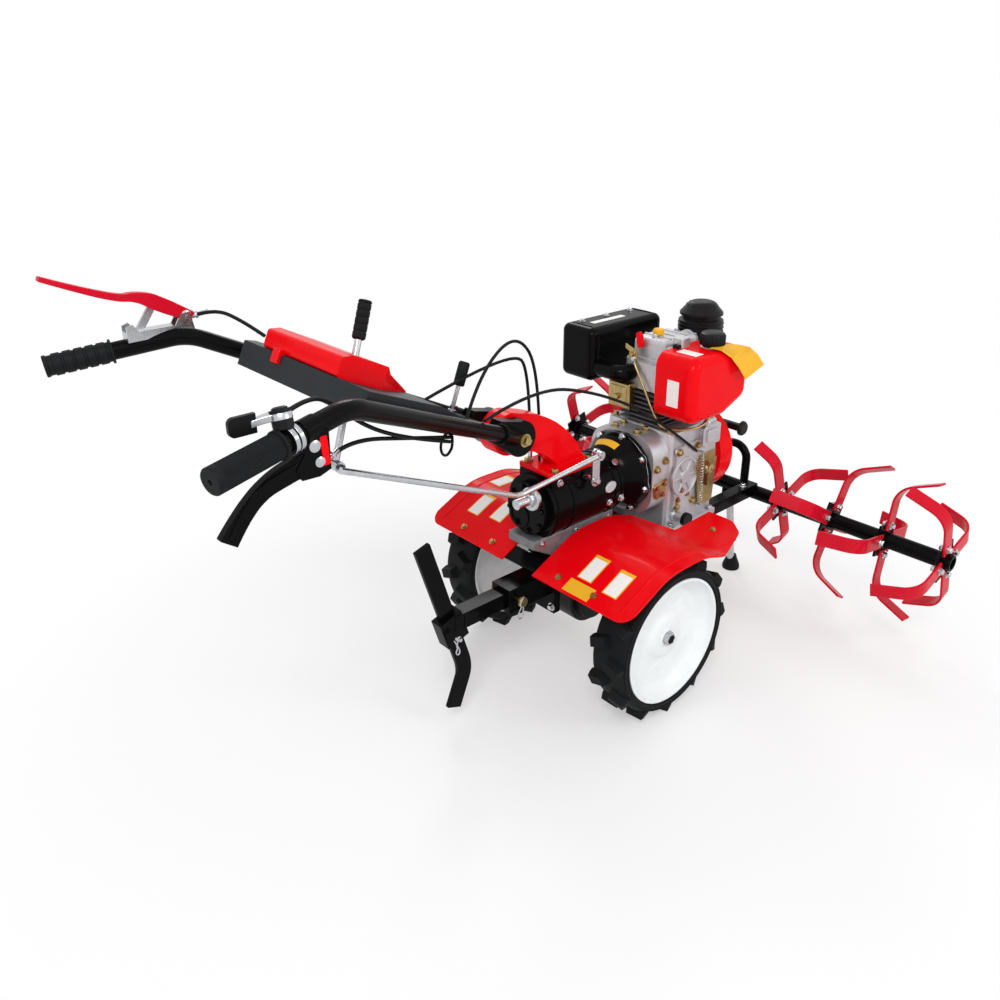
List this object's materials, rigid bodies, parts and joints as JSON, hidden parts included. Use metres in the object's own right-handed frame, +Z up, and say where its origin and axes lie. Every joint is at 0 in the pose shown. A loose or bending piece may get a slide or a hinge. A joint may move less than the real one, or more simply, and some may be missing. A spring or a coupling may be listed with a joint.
{
  "type": "walk-behind tractor",
  "caption": "Two-wheel walk-behind tractor with a diesel engine, adjustable handlebar, fenders, rear depth stake, front stand and stowed tine reels.",
  "frame": {"origin": "on the ground under the middle of the bounding box", "axes": "+X forward, the way the engine points; +Y to the operator's left, along the axle; +Z up"},
  "size_m": [1.8781, 1.308, 1.0948],
  "materials": {
    "red_paint": "glossy red enamel",
    "black_paint": "glossy black enamel",
    "black_plastic": "satin black moulded plastic",
    "grip_rubber": "matt black rubber",
    "tyre": "matt black rubber",
    "white_paint": "glossy white enamel",
    "cast_aluminium": "as-cast aluminium",
    "cast_iron": "dark cast iron",
    "zinc_steel": "bright zinc plate",
    "yellow_zinc": "yellow passivated zinc plate"
  },
  "bodies": {
    "chassis": {"air_filter": "black_plastic", "carrier_bar": "black_paint", "clutch_bell": "black_paint", "control_cables": "black_plastic", "drawbar": "black_paint", "engine_block": "cast_aluminium", "engine_cylinder": "cast_iron", "engine_head": "cast_aluminium", "exhaust_elbow": "black_paint", "exhaust_shield": "yellow_zinc", "fan_shroud": "red_paint", "fender_left": "red_paint", "fender_right": "red_paint", "fender_stays": "black_paint", "final_drive_case": "cast_aluminium", "frame_arm_left": "black_paint", "frame_arm_right": "black_paint", "frame_plate": "black_paint", "front_hoop": "black_paint", "fuel_tank": "red_paint", "gearbox_case": "black_paint", "governor_plate": "yellow_zinc", "handle_bracket": "red_paint", "hitch_bracket": "black_paint", "hitch_pin": "yellow_zinc", "muffler": "black_paint", "oil_filler": "black_plastic", "pto_shaft": "zinc_steel", "recoil_grip": "black_plastic", "shift_arm": "zinc_steel", "tank_cap": "black_plastic"},
    "wheelset": {"axle_shaft": "zinc_steel", "wheel_left": "white_paint", "wheel_right": "white_paint", "tyre_left": "tyre", "tyre_right": "tyre"},
    "stand": {"stand_leg": "zinc_steel"},
    "depth_stake": {"depth_stake": "black_paint"},
    "reel_left": {"tine_shaft_left": "black_paint", "tine_blades_left": "red_paint"},
    "reel_right": {"tine_shaft_right": "black_paint", "tine_blades_right": "red_paint"},
    "shift_rod": {"shift_rod": "zinc_steel"},
    "handlebar": {"handle_tube_left": "black_paint", "handle_tube_right": "black_paint", "pivot_bolt": "yellow_zinc", "handle_plate": "black_paint", "gear_lever": "zinc_steel", "console_tray": "black_plastic", "console_cover": "red_paint", "grip_left": "grip_rubber", "grip_right": "grip_rubber", "clutch_bracket": "zinc_steel", "clutch_lever": "red_paint", "throttle_lever": "black_plastic", "side_lever": "black_plastic", "lock_lever": "zinc_steel", "handle_cables": "black_plastic"}
  },
  "joints": [
    {"name": "axle_spin", "type": "hinge", "parent": "chassis", "child": "wheelset", "pos_m": [0.1018, 0, 0.2], "axis": [0, 1, 0], "continuous": true},
    {"name": "handle_tilt", "type": "hinge", "parent": "chassis", "child": "handlebar", "pos_m": [-0.1482, 0, 0.6971], "axis": [0, 1, 0], "range_deg": [-12, 18], "deforming": ["control_cables"]},
    {"name": "shift_rod_swing", "type": "hinge", "parent": "chassis", "child": "shift_rod", "pos_m": [0.0538, -0.102, 0.616], "axis": [0, 1, 0], "range_deg": [-10, 14]},
    {"name": "reel_left_spin", "type": "hinge", "parent": "chassis", "child": "reel_left", "pos_m": [0.7518, 0.4, 0.3], "axis": [0, 1, 0], "continuous": true},
    {"name": "reel_right_spin", "type": "hinge", "parent": "chassis", "child": "reel_right", "pos_m": [0.7518, -0.4, 0.3], "axis": [0, 1, 0], "continuous": true},
    {"name": "stake_slide", "type": "slide", "parent": "chassis", "child": "depth_stake", "axis": [-0.2924, 0, 0.9563], "range_m": [-0.03, 0.06]},
    {"name": "stand_swing", "type": "hinge", "parent": "chassis", "child": "stand", "pos_m": [0.7518, 0, 0.262], "axis": [0, 1, 0], "range_deg": [0, 85]}
  ],
  "couplings": [
    {"joint": "shift_rod_swing", "follows": "handle_tilt", "ratio": 0.72}
  ]
}
